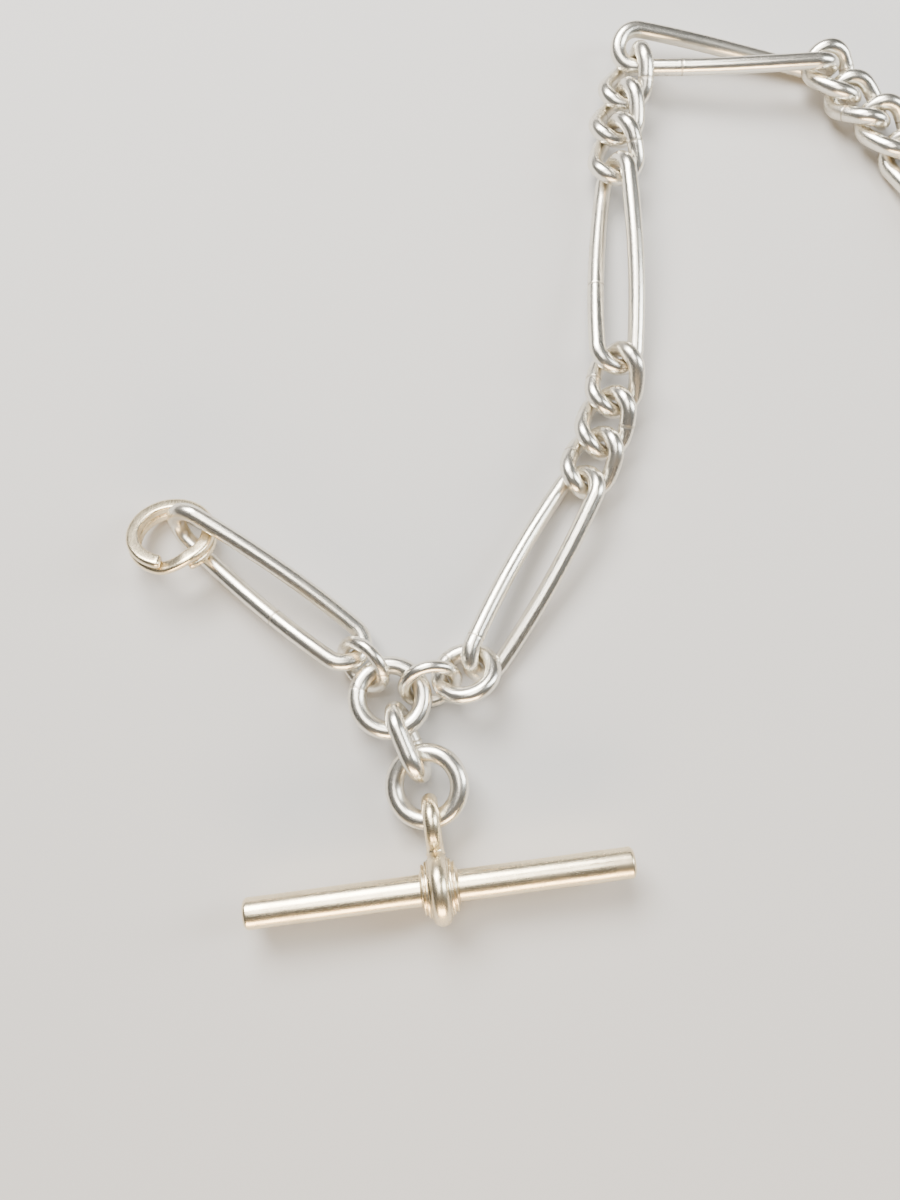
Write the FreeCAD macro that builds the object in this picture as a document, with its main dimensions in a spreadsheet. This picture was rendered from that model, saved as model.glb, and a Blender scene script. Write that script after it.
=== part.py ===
import FreeCAD, Part
import math
import os
import Sketcher
from FreeCAD import Placement, Rotation, Vector

# Pocket watch chain, a single Albert: a T-bar on a short drop, a fob link with a split ring,
# and a main chain of long twisted links with three short curb links between them, ending in
# a swivel. Millimetres, +Z up, laid out flat on Z = 0, X to the right, Y away.

doc = FreeCAD.newDocument("watch_chain")

# --------------------------------------------------------------------------- driving sizes
SIZES = [
    ("long_length", 22.45, "long link, outside length"),
    ("long_width", 5.35, "long link, outside width before its twist"),
    ("long_wire", 1.55, "long link, wire diameter"),
    ("curb_length", 7.25, "curb link, outside length"),
    ("curb_width", 5.46, "curb link, outside width before its twist"),
    ("curb_wire", 1.5, "curb link, wire diameter"),
    ("link_twist", 90, "twist from one end of a link to the other, degrees"),
    ("ring_radius", 2.9, "centre ring and T-bar ring, wire centre radius"),
    ("ring_wire", 1.64, "centre ring and T-bar ring, wire diameter"),
    ("chain_ring_radius", 2.42, "chain ring, wire centre radius"),
    ("chain_ring_wire", 1.52, "chain ring, wire diameter"),
    ("jump_radius", 2.32, "jump rings, wire centre radius"),
    ("jump_wire", 1.15, "jump rings, wire diameter"),
    ("drop_length", 7.6, "drop link, outside length"),
    ("drop_width", 5.5, "drop link, outside width"),
    ("drop_wire", 1.6, "drop link, wire diameter"),
    ("split_radius", 3.38, "split ring, coil centre radius"),
    ("split_wall", 1.2, "split ring, wall from inside to outside"),
    ("split_coil", 0.84, "split ring, thickness of one coil"),
    ("bar_length", 33.2, "T-bar rod, length"),
    ("bar_wire", 2.7, "T-bar rod, diameter"),
    ("bar_bevel", 0.25, "T-bar rod, bevel at each end"),
    ("waist_wire", 2.2, "T-bar rod, diameter of its turned waist under the band and collars"),
    ("band_radius", 3.15, "T-bar collar band, outside radius"),
    ("band_width", 1.9, "T-bar collar band, width"),
    ("collar_radius", 2.35, "T-bar side collars, outside radius"),
    ("collar_width", 0.7, "T-bar side collars, width"),
    ("band_round", 0.85, "T-bar collar band, rounding of its rims"),
    ("collar_round", 0.28, "T-bar side collars, rounding of their rims"),
    ("eye_radius", 1.78, "T-bar eye, wire centre radius"),
    ("eye_wire", 1.44, "T-bar eye, wire diameter"),
    ("eye_reach", 5.48, "T-bar eye, bar centre to eye centre"),
    ("eye_root", 2.4, "T-bar eye, bar centre to the start of its neck, inside the band"),
    ("swivel_eye_radius", 1.9, "swivel eye, wire centre radius"),
    ("swivel_eye_wire", 1.2, "swivel eye, wire diameter"),
    ("stem_wire", 1.1, "swivel stem, diameter"),
    ("stem_start", 2.2, "swivel stem, its start, from the middle of the swivel eye"),
    ("stem_neck", 5.0, "swivel stem, its head, from the middle of the swivel eye"),
    ("stem_head", 1.9, "swivel stem head, diameter"),
    ("stem_head_length", 0.6, "swivel stem head, length"),
    ("stem_gap", 0.08, "swivel stem, free gap round it and its head"),
    ("stem_end_gap", 0.35, "swivel stem head, free gap at each end of it"),
    ("barrel_wire", 3.6, "swivel barrel, diameter"),
    ("barrel_start", 3.1, "swivel barrel, its start, from the middle of the swivel eye"),
    ("barrel_length", 4.2, "swivel barrel, length"),
    ("barrel_bevel", 0.35, "swivel barrel, bevel of its rims"),
    ("hook_wire", 1.5, "swivel hook, wire diameter"),
    ("hook_width", 6.6, "swivel hook, outside width"),
    ("hook_reach", 12.0, "swivel hook, barrel to outside of the bow"),
    ("beak_length", 0.8, "swivel hook, straight end past the bow"),
    ("hinge_reach", 1.7, "gate hinge, its distance past the barrel"),
    ("lug_width", 1.2, "gate lugs, width"),
    ("lug_thick", 0.6, "gate lugs, thickness"),
    ("lug_inside", 0.65, "gate lugs, their inner faces from the middle plane"),
    ("gate_thick", 1.2, "gate lever, thickness"),
    ("gate_short", 0.3, "gate lever, its end short of the middle of the bow"),
    ("gate_gap", 0.06, "gate lever, free gap to the beak and to its pin"),
    ("gate_knuckle", 1.16, "gate lever, height of its knuckle"),
    ("gate_floor", 0.08, "gate lever, height of the floor under its spring"),
    ("spring_room", 0.72, "gate lever, radius of the room for its spring"),
    ("pin_wire", 0.7, "gate pin, diameter"),
    ("spring_radius", 0.5, "gate spring, coil centre radius"),
    ("spring_wire", 0.24, "gate spring, wire diameter"),
    ("spring_rise", 0.2, "gate spring, coil to coil"),
]
sheet = doc.addObject("Spreadsheet::Sheet", "sizes")
for row, (alias, value, meaning) in enumerate(SIZES, start=1):
    sheet.set(f"A{row}", alias)
    sheet.set(f"B{row}", str(value))
    sheet.set(f"C{row}", meaning)
    sheet.setAlias(f"B{row}", alias)
doc.recompute()


def size(alias):
    """The value of one driving dimension."""
    return float(sheet.get(alias))


# --------------------------------------------------------------------- building helpers
def bound(kind, label, **cells):
    """A Part object whose properties follow cells of the sheet: property name -> expression."""
    piece = doc.addObject(kind, label)
    for prop, expression in cells.items():
        piece.setExpression(prop, expression)
    return piece


def join(kind, label, *pieces):
    """A boolean of two or more earlier objects: Part::MultiFuse, or Part::Cut of the first two."""
    result = doc.addObject(kind, label)
    if kind == "Part::Cut":
        result.Base, result.Tool = pieces
    else:
        result.Shapes = list(pieces)
    return result


def stadium_point(link, along):
    """A corner of a link's polygon, by distance along its wire from its far tip, left side first."""
    half, bend, twist, reach = link["half"], link["bend"], link["twist"], link["reach"]
    side, arc = half - bend, math.pi * bend / 2
    along %= 4 * (side + arc)
    if along < arc:
        across = (side + reach * math.cos(along / bend), reach * math.sin(along / bend))
    elif along < arc + 2 * side:
        across = (side - (along - arc), bend)
    elif along < 3 * arc + 2 * side:
        turn = (along - arc - 2 * side) / bend + math.pi / 2
        across = (-side + reach * math.cos(turn), reach * math.sin(turn))
    elif along < 3 * arc + 4 * side:
        across = (-side + (along - 3 * arc - 2 * side), -bend)
    else:
        turn = (along - 3 * arc - 4 * side) / bend - math.pi / 2
        across = (side + reach * math.cos(turn), reach * math.sin(turn))
    lean = -math.radians(twist) / 2 * across[0] / half
    return Vector(across[0], across[1] * math.cos(lean), across[1] * math.sin(lean))


def corner_points(link, bend_corners, side_corners):
    """Corners of the polygon that is rounded into the link: so many per bend and per side."""
    half, bend, twist = link["half"], link["bend"], link["twist"]
    side, arc = half - bend, math.pi * bend / 2
    steps = [(k + 0.5) * 2 * arc / bend_corners - arc for k in range(bend_corners)]
    steps += [arc + (k + 0.5) * 2 * side / side_corners for k in range(side_corners)]
    return [stadium_point(link, start + step) for start in (0, 2 * (side + arc)) for step in steps]


def rounded_loop(corners):
    """Edges of a closed loop: an arc at every corner, tangent to its legs, or a line if straight."""
    legs = [(corners[k] - corners[k - 1]).Length for k in range(len(corners))]
    edges = []
    for k, corner in enumerate(corners):
        back = (corners[k - 1] - corner).normalize()
        ahead = (corners[(k + 1) % len(corners)] - corner).normalize()
        reach = min(legs[k], legs[(k + 1) % len(corners)]) / 2
        half_turn = (math.pi - back.getAngle(ahead)) / 2
        if half_turn < 1e-6:
            edges.append(Part.LineSegment(corner + back * reach, corner + ahead * reach).toShape())
            continue
        radius = reach / math.tan(half_turn)
        middle = corner + (back + ahead).normalize() * (radius / math.cos(half_turn) - radius)
        edges.append(Part.Arc(corner + back * reach, middle, corner + ahead * reach).toShape())
    joined = []
    for k, edge in enumerate(edges):
        joined.append(edge)
        end = edge.valueAt(edge.LastParameter)
        start = edges[(k + 1) % len(edges)].valueAt(edges[(k + 1) % len(edges)].FirstParameter)
        if (start - end).Length > 1e-6:
            joined.append(Part.LineSegment(end, start).toShape())
    return joined


def wire_run(edges, wire):
    """Round wire along a run of tangent edges, with flat ends."""
    first = edges[0]
    centre = first.valueAt(first.FirstParameter)
    circle = Part.makeCircle(wire / 2, centre, first.tangentAt(first.FirstParameter))
    return Part.Wire(edges).makePipe(Part.Face(Part.Wire(circle)))


def wire_loop(edges, wire):
    """A closed loop of round wire, made as two bent halves joined at their flat ends."""
    half = len(edges) // 2
    solid = wire_run(edges[:half], wire).fuse(wire_run(edges[half:], wire))
    wanted = math.pi * wire ** 2 / 4 * sum(edge.Length for edge in edges)
    if abs(solid.Volume - wanted) > 0.01 * wanted:
        raise RuntimeError("the wire loop's volume is not its section times its length")
    return solid


# The origin is under the middle of the whole chain as it lies. Places are laid out from a point
# near the centre ring, so this is the middle of the chain in that layout.
MIDDLE = Vector(38.98, 11.23, 0)


def place(x, y, z, heading, climb, roll):
    """A place for a piece whose long axis is X: heading and climb of X, roll lifts its left."""
    return Placement(Vector(x, y, z) - MIDDLE, Rotation(heading, -climb, roll))


# ------------------------------------------------------------------------- kinds of link
def kind(length, width, wire, twist, bend_corners, side_corners):
    """One kind of link, from its outside length and width, its wire and its twist."""
    bend = (width - wire) / 2
    return {
        "half": (length - wire) / 2,
        "bend": bend,
        "reach": bend / math.cos(math.pi / 2 / bend_corners),
        "wire": wire,
        "twist": twist,
        "corners": (bend_corners, side_corners),
    }


LONG = kind(size("long_length"), size("long_width"), size("long_wire"), size("link_twist"), 7, 5)
CURB = kind(size("curb_length"), size("curb_width"), size("curb_wire"), size("link_twist"), 6, 1)
DROP = kind(size("drop_length"), size("drop_width"), size("drop_wire"), 0, 6, 1)


def add_link(label, link, where):
    """A bent wire link in its own node."""
    node = doc.addObject("Part::Feature", label)
    node.Shape = wire_loop(rounded_loop(corner_points(link, *link["corners"])), link["wire"])
    node.Placement = where
    return node


def add_ring(label, radius_cell, wire_cell, where):
    """A plain ring: a torus bound to its two cells."""
    cells = {"Radius1": f"sizes.{radius_cell}", "Radius2": f"sizes.{wire_cell} / 2"}
    node = bound("Part::Torus", label, **cells)
    node.Placement = where
    return node


def plane_of(body, role):
    """One of a body's own origin planes, by its role."""
    return next(item for item in body.Origin.OriginFeatures if item.Role == role)


def turned(label, *corners):
    """A turned body about X: its half outline's corners, each as two expressions on the sheet."""
    body = doc.addObject("PartDesign::Body", label)
    sketch = body.newObject("Sketcher::SketchObject", label + "_outline")
    sketch.AttachmentSupport = [(plane_of(body, "XY_Plane"), "")]
    sketch.MapMode = "FlatFace"
    points = [Vector(sheet.evalExpression(along), sheet.evalExpression(out), 0) for along, out in corners]
    for k, point in enumerate(points):
        sketch.addGeometry(Part.LineSegment(point, points[(k + 1) % len(points)]), False)
    for k in range(len(points)):
        sketch.addConstraint(Sketcher.Constraint("Coincident", (k - 1) % len(points), 2, k, 1))
    for k, (point, texts) in enumerate(zip(points, corners)):
        for name, value, text in zip(("DistanceX", "DistanceY"), point, texts):
            row = sketch.addConstraint(Sketcher.Constraint(name, -1, 1, k, 1, value))
            sketch.setExpression(f"Constraints[{row}]", text)
    spun = body.newObject("PartDesign::Revolution", label + "_turned")
    spun.Profile = sketch
    spun.ReferenceAxis = (sketch, ["H_Axis"])
    spun.Angle = 360
    body.Tip = spun
    return body


def tube(label, inner, outer, start, end):
    """A turned tube about X; every size is an expression."""
    return turned(label, (start, inner), (start, outer), (end, outer), (end, inner))


def rounded(body, size_cell, outer):
    """Rounds the two outside rims of a turned body."""
    doc.recompute()
    rims = [
        f"Edge{k}"
        for k, edge in enumerate(body.Shape.Edges, start=1)
        if isinstance(edge.Curve, Part.Circle) and abs(edge.Curve.Radius - outer) < 1e-6
    ]
    before = body.Tip
    fillet = body.newObject("PartDesign::Fillet", body.Label + "_rounded")
    fillet.Base = (before, rims)
    fillet.setExpression("Radius", size_cell)
    body.Tip = fillet


def local(place_of_group, x, y, z, axis=Vector(0, 0, 1), angle=0):
    """A place inside a group's own frame."""
    return place_of_group.multiply(Placement(Vector(x, y, z), Rotation(axis, angle)))


# ----------------------------------------------------------------- rings and drop of the fob
# The centre ring carries three branches; the small rings are open jump rings soldered shut.
add_ring("centre_ring", "ring_radius", "ring_wire", place(-5.25, -8.8, 2.55, 61, -6, 0))
add_ring("fob_jump_ring", "jump_radius", "jump_wire", place(-7.65, -5.9, 2.55, 44, 59, 0))
add_ring("chain_jump_ring", "jump_radius", "jump_wire", place(-1.75, -7.6, 2.5, 104, 56, 0))
add_ring("chain_ring", "chain_ring_radius", "chain_ring_wire", place(1.4, -6.65, 2.65, -65, 34, 0))
add_ring("t_bar_ring", "ring_radius", "ring_wire", place(-2.0, -16.45, 2.8, -166, -13, 0))
add_link("drop_link", DROP, place(-3.65, -12.65, 2.75, -67, -1.5, -79))
add_link("fob_long_link", LONG, place(-16.35, 1.2, 2.75, 143, 1, -21))


# ------------------------------------------------------------------------------ split ring
def coil_section(level, turn):
    """The split ring's wire section as a closed outline, at a level and a turn round the ring."""
    inner = size("split_radius") - size("split_wall") / 2
    outer, coil = inner + size("split_wall"), size("split_coil")
    corners = [(inner, 0), (outer, 0), (outer, coil), (inner, coil), (inner, 0)]
    outline = Part.makePolygon([Vector(out, 0, level + up) for out, up in corners])
    outline.rotate(Vector(), Vector(0, 0, 1), turn)
    return outline


def split_ring_shape(slack=0.05, ramp=28, clear=3, ramp_steps=5):
    """Two flat coils of one springy wire, joined by a short ramp from the lower to the upper."""
    axis = Vector(0, 0, 1)
    low, high = -size("split_coil") - slack / 2, slack / 2
    full = 360 - ramp - clear
    lower = Part.Face(coil_section(low, ramp + clear)).revolve(Vector(), axis, full)
    upper = Part.Face(coil_section(high, ramp)).revolve(Vector(), axis, full)
    rise = [(0.5 - 0.5 * math.cos(math.pi * k / ramp_steps)) for k in range(ramp_steps + 1)]
    sections = [coil_section(low + (high - low) * part, ramp * k / ramp_steps)
                for k, part in enumerate(rise)]
    return lower.multiFuse([upper, Part.makeLoft(sections, True)])


split_ring = doc.addObject("Part::Feature", "split_ring")
split_ring.Shape = split_ring_shape()
split_ring.Placement = place(-25.05, 5.7, 2.65, -91, 26.5, 0)

# ----------------------------------------------------------------------------------- T-bar
# A solid rod through a domed collar band with a narrow side collar on each side of it. The
# wire eye is soldered to the band. X runs along the rod and Y out through the eye.
T_BAR = place(-0.85, -24.9, 3.15, 7.4, 0, -4)
ALONG_X, ALONG_Y = (Vector(0, 1, 0), 90), (Vector(1, 0, 0), -90)

near, far = "sizes.band_width / 2", "sizes.band_width / 2 + sizes.collar_width"
waist = "sizes.waist_wire / 2"
rod = turned(
    "t_bar_rod",
    ("-sizes.bar_length / 2", "0"),
    ("-sizes.bar_length / 2", "sizes.bar_wire / 2 - sizes.bar_bevel"),
    ("sizes.bar_bevel - sizes.bar_length / 2", "sizes.bar_wire / 2"),
    (f"-({far})", "sizes.bar_wire / 2"),
    (f"-({far})", waist),
    (far, waist),
    (far, "sizes.bar_wire / 2"),
    ("sizes.bar_length / 2 - sizes.bar_bevel", "sizes.bar_wire / 2"),
    ("sizes.bar_length / 2", "sizes.bar_wire / 2 - sizes.bar_bevel"),
    ("sizes.bar_length / 2", "0"),
)

band = tube("t_bar_band", waist, "sizes.band_radius", f"-{near}", near)
rounded(band, "sizes.band_round", size("band_radius"))
left_collar = tube("t_bar_left_collar", waist, "sizes.collar_radius", f"-({far})", f"-({near})")
right_collar = tube("t_bar_right_collar", waist, "sizes.collar_radius", near, far)
for collar in (left_collar, right_collar):
    rounded(collar, "sizes.collar_round", size("collar_radius"))
for turned_piece in (rod, band, left_collar, right_collar):
    turned_piece.Placement = T_BAR

eye_ring = bound("Part::Torus", "eye_ring", Radius1="sizes.eye_radius", Radius2="sizes.eye_wire / 2")
eye_ring.Placement = local(T_BAR, 0, size("eye_reach"), 0, *ALONG_X)
eye_neck = bound("Part::Cylinder", "eye_neck", Radius="sizes.eye_wire / 2",
                 Height="sizes.eye_reach - sizes.eye_radius - sizes.eye_root")
eye_neck.Placement = local(T_BAR, 0, size("eye_root"), 0, *ALONG_Y)
eye_bent = join("Part::MultiFuse", "eye_bent", eye_ring, eye_neck)
join("Part::Cut", "t_bar_eye", eye_bent, band)


# -------------------------------------------------------------------------------- main chain
# Each link hooks over the far end of the one before it. The rows are the links in order:
# label, kind, centre, heading, climb and roll.
MAIN_CHAIN = [
    ("long_link_1", LONG, 7.45, 2.55, 2.25, 60.5, 1, 2.5),
    ("curb_link_1", CURB, 12.96, 12.82, 2.37, 67.6, -0.4, -6.2),
    ("curb_link_2", CURB, 14.32, 16.62, 2.42, 74.3, 1.4, -9.5),
    ("curb_link_3", CURB, 15.26, 20.53, 2.79, 82.2, 8.1, -13.4),
    ("long_link_2", LONG, 15.64, 32.12, 2.95, 88.5, -0.5, -22.3),
    ("curb_link_4", CURB, 15.95, 43.75, 2.9, 88.8, 0, -30.7),
    ("curb_link_5", CURB, 16.33, 47.78, 2.69, 77.4, -3.7, -33.7),
    ("curb_link_6", CURB, 17.45, 51.71, 2.65, 71.6, 2.4, -38.1),
    ("long_link_3", LONG, 26.89, 53.94, 2.73, -5.2, -1.4, -28.9),
    ("curb_link_7", CURB, 37.77, 52.15, 2.39, -48.5, -11.6, -16.2),
    ("curb_link_8", CURB, 40.07, 49.22, 2.21, -47.1, 4.3, -9.4),
    ("curb_link_9", CURB, 42.76, 46.37, 2.11, -52.1, -7, -5.7),
    ("long_link_4", LONG, 49.29, 36.88, 2.33, -55.1, 2.8, -4),
    ("curb_link_10", CURB, 55.53, 27.4, 2.63, -71.3, -8.2, -0.8),
    ("curb_link_11", CURB, 56.44, 23.61, 2.12, -81, -7.8, 3.7),
    ("curb_link_12", CURB, 56.6, 19.64, 1.99, -88, 3.1, 8.4),
    ("long_link_5", LONG, 55.83, 8.18, 2.2, -95.4, -0.3, 11.5),
    ("curb_link_13", CURB, 55.07, -3.27, 2.05, -89, 0.8, 14.6),
    ("curb_link_14", CURB, 55.11, -7.23, 2.13, -89.7, 1.6, 18.3),
    ("curb_link_15", CURB, 55.18, -11.14, 2.39, -86.7, 7.3, 22.3),
    ("long_link_6", LONG, 60.04, -21.39, 2.59, -62.1, -0.1, 24.8),
    ("curb_link_16", CURB, 66.35, -30.76, 2.42, -37.4, 2, 31.1),
    ("curb_link_17", CURB, 69.87, -32.15, 2.55, -12.3, 0.3, 43.4),
    ("curb_link_18", CURB, 73.72, -31.74, 2.64, 15.5, -3.1, 54.2),
    ("long_link_7", LONG, 82.17, -24.16, 2.93, 45.2, 1.3, 57.9),
]
for label, link, *where in MAIN_CHAIN:
    add_link(label, link, place(*where))


# ------------------------------------------------------------------------------------ swivel
# A jump ring holds the swivel eye. Its headed stem turns in the barrel, which is cast in one
# with the hook. A gate lever on a pin closes the hook from inside, pressed by a small spring.
# X runs from the eye to the bow of the hook; Z is the gate pin's direction.
add_ring("end_jump_ring", "jump_radius", "jump_wire", place(89.85, -16.08, 2.82, 42.5, 1.6, -75.2))
SWIVEL = place(91.66, -14.28, 2.09, 41.1, -2.4, 3.7)
hook_bend = (size("hook_width") - size("hook_wire")) / 2
barrel_end = size("barrel_start") + size("barrel_length")
shoulder_x = barrel_end + hook_bend
bow_x = barrel_end + size("hook_reach") - hook_bend - size("hook_wire") / 2
hinge_x = barrel_end + size("hinge_reach")
hinge_y = (size("hook_wire") + size("gate_thick")) / 2 + size("gate_gap") - hook_bend

swivel_loop = bound("Part::Torus", "swivel_loop", Radius1="sizes.swivel_eye_radius",
                    Radius2="sizes.swivel_eye_wire / 2")
swivel_loop.Placement = SWIVEL
stem = turned(
    "swivel_stem",
    ("sizes.stem_start", "0"),
    ("sizes.stem_start", "sizes.stem_wire / 2"),
    ("sizes.stem_neck", "sizes.stem_wire / 2"),
    ("sizes.stem_neck", "sizes.stem_head / 2"),
    ("sizes.stem_neck + sizes.stem_head_length", "sizes.stem_head / 2"),
    ("sizes.stem_neck + sizes.stem_head_length", "0"),
)
stem.Placement = SWIVEL
join("Part::MultiFuse", "swivel_eye", swivel_loop, stem)

finish = "sizes.barrel_start + sizes.barrel_length"
room_start = "sizes.stem_neck - sizes.stem_end_gap"
room_end = "sizes.stem_neck + sizes.stem_head_length + sizes.stem_end_gap"
barrel = turned(
    "swivel_barrel",
    ("sizes.barrel_start", "sizes.stem_wire / 2 + sizes.stem_gap"),
    ("sizes.barrel_start", "sizes.barrel_wire / 2 - sizes.barrel_bevel"),
    ("sizes.barrel_start + sizes.barrel_bevel", "sizes.barrel_wire / 2"),
    (f"{finish} - sizes.barrel_bevel", "sizes.barrel_wire / 2"),
    (finish, "sizes.barrel_wire / 2 - sizes.barrel_bevel"),
    (finish, "0"),
    (room_end, "0"),
    (room_end, "sizes.stem_head / 2 + sizes.stem_gap"),
    (room_start, "sizes.stem_head / 2 + sizes.stem_gap"),
    (room_start, "sizes.stem_wire / 2 + sizes.stem_gap"),
)
barrel.Placement = SWIVEL


def hook_torus(label, x, start, sweep):
    """A bend of the hook wire about a point on the middle line."""
    piece = bound("Part::Torus", label, Radius1="(sizes.hook_width - sizes.hook_wire) / 2",
                  Radius2="sizes.hook_wire / 2")
    piece.Angle3 = sweep
    piece.Placement = local(SWIVEL, x, 0, 0, Vector(0, 0, 1), start)
    return piece


def straight(label, wire_cell, length, x, y, z=0):
    """A straight of round wire along X."""
    piece = bound("Part::Cylinder", label, Radius=f"sizes.{wire_cell} / 2")
    piece.Height = length
    piece.Placement = local(SWIVEL, x, y, z, *ALONG_X)
    return piece


def post(label, radius, low, high):
    """An upright cylinder on the gate hinge."""
    piece = doc.addObject("Part::Cylinder", label)
    piece.Radius = radius
    piece.Height = high - low
    piece.Placement = local(SWIVEL, hinge_x, hinge_y, low)
    return piece


beak = size("beak_length")
hook_pieces = [
    barrel,
    hook_torus("hook_shoulder", shoulder_x, 90, 90),
    hook_torus("hook_bow", bow_x, -90, 180),
    straight("hook_spine", "hook_wire", bow_x - shoulder_x, shoulder_x, hook_bend),
    straight("hook_beak", "hook_wire", beak, bow_x - beak, -hook_bend),
]
lug_width, lug_thick, lug_inside = size("lug_width"), size("lug_thick"), size("lug_inside")
lug_root = barrel_end - 2 * size("barrel_bevel")
for side, low in (("upper", lug_inside), ("lower", -lug_inside - lug_thick)):
    arm = bound("Part::Box", f"{side}_lug_arm", Width="sizes.lug_width", Height="sizes.lug_thick")
    arm.Length = hinge_x - lug_root
    arm.Placement = local(SWIVEL, lug_root, hinge_y - lug_width / 2, low)
    hook_pieces += [arm, post(f"{side}_lug_end", lug_width / 2, low, low + lug_thick)]
hook_blank = join("Part::MultiFuse", "hook_blank", *hook_pieces)

pin_radius, pin_end = size("pin_wire") / 2, lug_inside + lug_thick
post("gate_pin", pin_radius, -pin_end, pin_end)
pin_hole = post("pin_hole", pin_radius, -2 * pin_end, 2 * pin_end)

# The spring: two coils round the pin above the lever's floor, and a tail let into the barrel.
coils = []
spring_low = size("gate_floor") + size("spring_wire")
for k in range(2):
    coil = bound("Part::Torus", f"spring_coil_{k + 1}", Radius1="sizes.spring_radius",
                 Radius2="sizes.spring_wire / 2")
    coil.Placement = local(SWIVEL, hinge_x, hinge_y, spring_low + size("spring_rise") * k)
    coils.append(coil)
tail = straight("spring_tail", "spring_wire", hinge_x - lug_root + 2 * size("barrel_bevel"),
                lug_root - 2 * size("barrel_bevel"), hinge_y - size("spring_radius"),
                spring_low + size("spring_rise") / 2)
join("Part::MultiFuse", "gate_spring", *coils, tail)
hook_holes = join("Part::MultiFuse", "hook_holes", pin_hole, tail)
join("Part::Cut", "swivel_body", hook_blank, hook_holes)

gate_arm = straight("gate_arm", "gate_thick", bow_x - size("gate_short") - hinge_x, hinge_x, hinge_y)
knuckle_end = size("gate_knuckle") / 2
knuckle = post("gate_knuckle_post", size("gate_thick") / 2, -knuckle_end, knuckle_end)
gate_blank = join("Part::MultiFuse", "gate_blank", gate_arm, knuckle)
gate_room = join(
    "Part::MultiFuse", "gate_room",
    post("spring_room", size("spring_room"), size("gate_floor"), lug_inside),
    post("gate_hole", pin_radius + size("gate_gap"), -lug_inside, lug_inside),
)
join("Part::Cut", "gate_lever", gate_blank, gate_room)

# ------------------------------------------------------------------------------------ export
NODES = [
    "centre_ring", "fob_jump_ring", "fob_long_link", "split_ring", "drop_link", "t_bar_ring",
    "t_bar_rod", "t_bar_band", "t_bar_left_collar", "t_bar_right_collar", "t_bar_eye",
    "chain_jump_ring", "chain_ring", *[row[0] for row in MAIN_CHAIN], "end_jump_ring",
    "swivel_eye", "swivel_body", "gate_pin", "gate_lever", "gate_spring",
]
doc.recompute()
for item in doc.Objects:
    if "Invalid" in item.State or "Error" in item.State:
        raise RuntimeError(f"{item.Label} did not compute: {item.State}")
os.makedirs("parts", exist_ok=True)
for node in NODES:
    shape = doc.getObjectsByLabel(node)[0].Shape
    if shape.isNull() or not shape.isValid() or len(shape.Solids) != 1:
        raise RuntimeError(f"{node} is not one valid solid")
    shape.exportStep(f"parts/{node}.step")
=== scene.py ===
import math

import bmesh
import bpy
from mathutils import Euler, Matrix, Vector


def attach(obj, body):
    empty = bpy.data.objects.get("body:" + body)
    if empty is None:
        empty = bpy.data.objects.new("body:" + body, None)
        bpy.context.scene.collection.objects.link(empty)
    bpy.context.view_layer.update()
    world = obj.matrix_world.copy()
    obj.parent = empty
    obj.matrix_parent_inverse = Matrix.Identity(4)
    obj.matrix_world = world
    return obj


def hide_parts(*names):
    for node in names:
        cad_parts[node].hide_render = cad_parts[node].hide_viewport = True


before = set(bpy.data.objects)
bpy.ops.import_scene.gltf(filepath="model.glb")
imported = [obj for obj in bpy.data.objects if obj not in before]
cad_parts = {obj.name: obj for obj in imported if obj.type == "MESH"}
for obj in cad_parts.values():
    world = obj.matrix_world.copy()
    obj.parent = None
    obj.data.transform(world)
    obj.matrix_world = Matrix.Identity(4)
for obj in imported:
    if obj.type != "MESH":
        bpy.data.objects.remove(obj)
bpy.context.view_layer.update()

# ------------------------------------------------------------------------ plain rings of the fob
# Round sterling wire bent to a ring and soldered shut: a heavy centre ring that the three
# branches share, the ring of the T-bar, the smaller chain ring, and light jump rings between.
MM = 0.001
MIDDLE = Vector((38.98, 11.23, 0)) * MM


def node(tree, kind, feeds=(), **settings):
    """Adds one node to a tree, sets it up, and feeds its inputs by name or number."""
    made = tree.nodes.new(kind)
    for name, value in settings.items():
        setattr(made, name, value)
    for socket, value in dict(feeds).items():
        if isinstance(value, bpy.types.NodeSocket):
            tree.links.new(value, made.inputs[socket])
        else:
            made.inputs[socket].default_value = value
    return made


def sums(tree, operation, *values):
    """The result of one math node on sockets or numbers."""
    return node(tree, "ShaderNodeMath", enumerate(values), operation=operation).outputs[0]


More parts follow.
